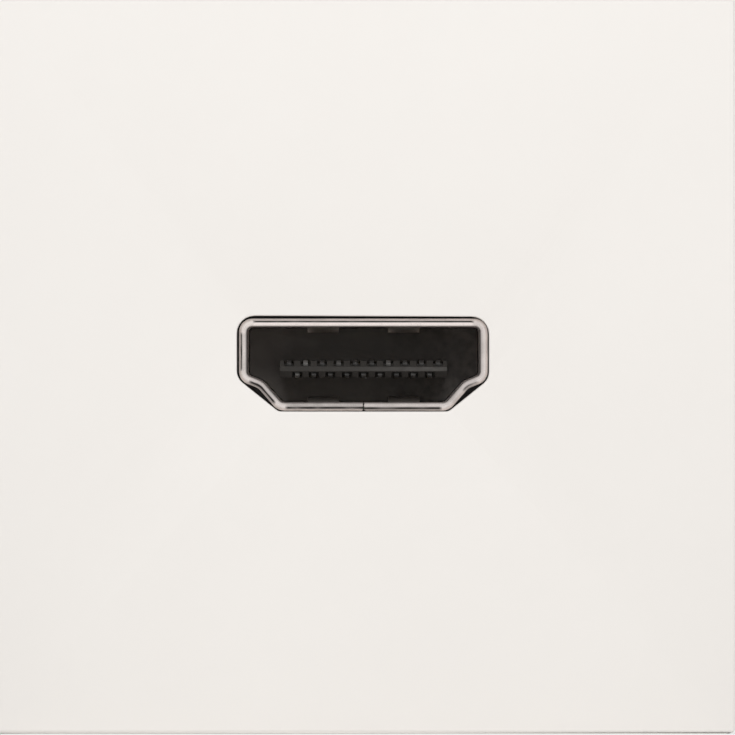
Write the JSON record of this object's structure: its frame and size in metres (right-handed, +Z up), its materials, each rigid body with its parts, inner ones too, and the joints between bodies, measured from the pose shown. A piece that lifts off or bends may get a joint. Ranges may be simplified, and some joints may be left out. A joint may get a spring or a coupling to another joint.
{
  "type": "hdmi socket insert",
  "caption": "Square snap-in wiring insert with a video socket in its plate and a pass-through coupler with a second socket behind it.",
  "frame": {"origin": "on the plate's front face, in line with the middle of both sockets' mouths; the plate's middle is 0.25 mm above it", "axes": "+X to the right seen from the room, +Y into the wall along the plug's way in, +Z up"},
  "size_m": [0.045, 0.0301, 0.045],
  "materials": {
    "plate_white": "fine satin moulding",
    "housing_graphite": "fine eroded texture",
    "shell_nickel": "nickel-plated folded sheet",
    "insulator_black": "satin moulding",
    "contact_gilt": "gold flash over copper alloy",
    "board_green": "solder mask over laminate",
    "screw_steel": "zinc-plated"
  },
  "bodies": {
    "root": {"front_plate": "plate_white", "housing_base": "housing_graphite", "housing_lid": "housing_graphite", "circuit_board": "board_green", "front_shell": "shell_nickel", "front_insulator": "insulator_black", "rear_shell": "shell_nickel", "rear_insulator": "insulator_black", "front_contact_01": "contact_gilt", "front_contact_02": "contact_gilt", "front_contact_03": "contact_gilt", "front_contact_04": "contact_gilt", "front_contact_05": "contact_gilt", "front_contact_06": "contact_gilt", "front_contact_07": "contact_gilt", "front_contact_08": "contact_gilt", "front_contact_09": "contact_gilt", "front_contact_10": "contact_gilt", "front_contact_11": "contact_gilt", "front_contact_12": "contact_gilt", "front_contact_13": "contact_gilt", "front_contact_14": "contact_gilt", "front_contact_15": "contact_gilt", "front_contact_16": "contact_gilt", "front_contact_17": "contact_gilt", "front_contact_18": "contact_gilt", "front_contact_19": "contact_gilt", "rear_contact_01": "contact_gilt", "rear_contact_02": "contact_gilt", "rear_contact_03": "contact_gilt", "rear_contact_04": "contact_gilt", "rear_contact_05": "contact_gilt", "rear_contact_06": "contact_gilt", "rear_contact_07": "contact_gilt", "rear_contact_08": "contact_gilt", "rear_contact_09": "contact_gilt", "rear_contact_10": "contact_gilt", "rear_contact_11": "contact_gilt", "rear_contact_12": "contact_gilt", "rear_contact_13": "contact_gilt", "rear_contact_14": "contact_gilt", "rear_contact_15": "contact_gilt", "rear_contact_16": "contact_gilt", "rear_contact_17": "contact_gilt", "rear_contact_18": "contact_gilt", "rear_contact_19": "contact_gilt", "plate_screws": "screw_steel", "housing_screws": "screw_steel"}
  },
  "joints": []
}
